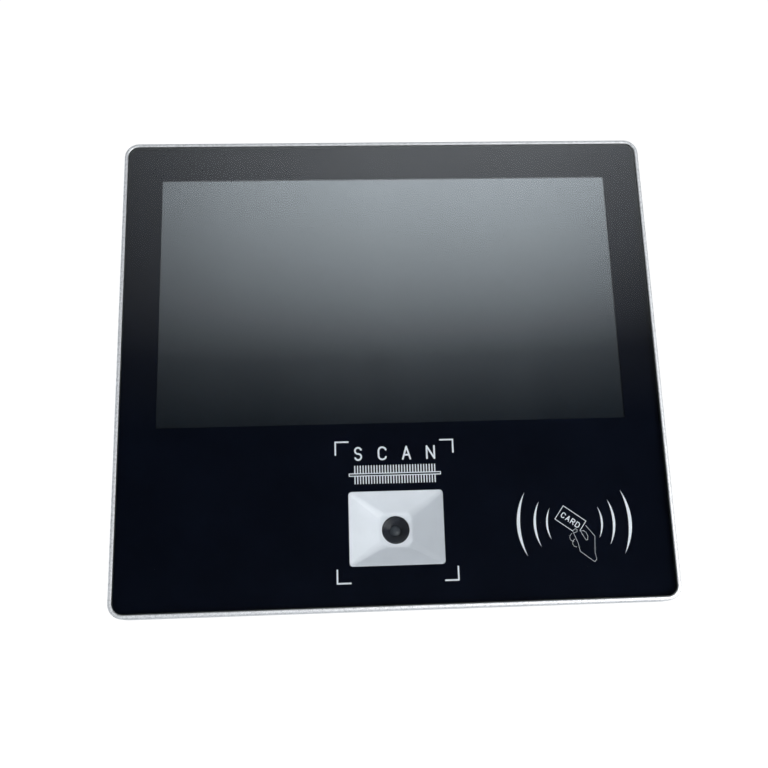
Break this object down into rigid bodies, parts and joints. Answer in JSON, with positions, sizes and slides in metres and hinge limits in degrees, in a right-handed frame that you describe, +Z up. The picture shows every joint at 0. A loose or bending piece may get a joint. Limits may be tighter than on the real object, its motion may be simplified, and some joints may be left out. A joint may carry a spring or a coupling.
{
  "type": "self checkout kiosk terminal",
  "caption": "Landscape touch terminal head with a display, a code scanner window and a contactless card area behind one black-bordered glass, in a slim metal rim.",
  "frame": {"origin": "centre of the four mounting nuts, on the flat rear face", "axes": "+Z up; +X to the right seen from the front; +Y out of the rear face, so the display faces -Y"},
  "size_m": [0.3, 0.042, 0.266],
  "materials": {
    "blasted_aluminium": "grit-blasted, clear anodised",
    "cover_glass": "polished, clear",
    "black_ink": "screen-printed black ink behind glass",
    "white_ink": "screen-printed white ink behind glass",
    "black_foam": "closed-cell foam and foam tape",
    "bright_steel": "plated",
    "display_glass": "switched-off display panel",
    "white_plastic": "moulded, satin",
    "green_board": "circuit board with solder mask",
    "amber_film": "flexible printed film",
    "zinc_steel": "zinc-plated sheet",
    "black_plastic": "moulded, fine texture",
    "lens_glass": "coated lens",
    "chip_black": "moulded package",
    "copper": "etched copper",
    "brass_gold": "turned",
    "black_aluminium": "black anodised",
    "socket_steel": "plated shell",
    "cable_black": "round sheathed cable",
    "cable_red": "round sheathed cable",
    "paper_cone": "pressed cone",
    "black_powder_coat": "fine-textured powder coat on steel sheet",
    "button_plastic": "moulded, satin"
  },
  "bodies": {
    "terminal": {"front_frame": "blasted_aluminium", "cover_glass": "cover_glass", "black_border_print": "black_ink", "scan_legend_print": "white_ink", "barcode_ruler_print": "white_ink", "contactless_waves_print": "white_ink", "card_hand_print": "white_ink", "glass_adhesive_tape": "black_foam", "lcd_bezel": "bright_steel", "lcd_panel": "display_glass", "backlight_unit": "white_plastic", "lcd_support_pads": "black_foam", "touch_controller_board": "green_board", "touch_flex_cable": "amber_film", "mid_plate": "zinc_steel", "mid_plate_screws": "bright_steel", "scan_reflector": "white_plastic", "scan_lens_barrel": "black_aluminium", "scan_lens_glass": "lens_glass", "scan_lens_holder": "black_plastic", "scan_image_sensor": "chip_black", "scan_sensor_board": "green_board", "scan_module_housing": "black_plastic", "scan_module_screws": "bright_steel", "nfc_antenna_board": "green_board", "nfc_antenna_coil": "copper", "nfc_foam_pad": "black_foam", "main_board": "green_board", "board_standoffs": "brass_gold", "board_chips": "chip_black", "board_connectors": "white_plastic", "heatsink": "black_aluminium", "board_screws": "bright_steel", "dc_power_jack": "black_plastic", "audio_jack": "black_plastic", "lan_socket": "socket_steel", "usb_socket_left": "socket_steel", "usb_socket_right": "socket_steel", "hdmi_socket": "socket_steel", "display_cable": "amber_film", "scan_cable": "cable_black", "nfc_cable": "cable_black", "speaker_cables": "cable_red", "button_cable": "cable_black", "speaker_boxes": "black_plastic", "speaker_cones": "paper_cone", "button_board": "green_board", "button_bracket": "zinc_steel", "tact_switch_bodies": "chip_black", "rear_cover": "black_powder_coat", "rear_cover_screws": "bright_steel", "vesa_nuts": "bright_steel"},
    "power_button": {"power_button": "button_plastic", "power_switch_stem": "black_plastic"},
    "volume_up_button": {"volume_up_button": "button_plastic", "volume_up_switch_stem": "black_plastic"},
    "volume_down_button": {"volume_down_button": "button_plastic", "volume_down_switch_stem": "black_plastic"}
  },
  "joints": [
    {"name": "power_press", "type": "slide", "parent": "terminal", "child": "power_button", "axis": [-1, 0, 0], "range_m": [0, 0.0008], "stiffness_N_per_m": 600},
    {"name": "volume_up_press", "type": "slide", "parent": "terminal", "child": "volume_up_button", "axis": [-1, 0, 0], "range_m": [0, 0.0008], "stiffness_N_per_m": 600},
    {"name": "volume_down_press", "type": "slide", "parent": "terminal", "child": "volume_down_button", "axis": [-1, 0, 0], "range_m": [0, 0.0008], "stiffness_N_per_m": 600}
  ]
}
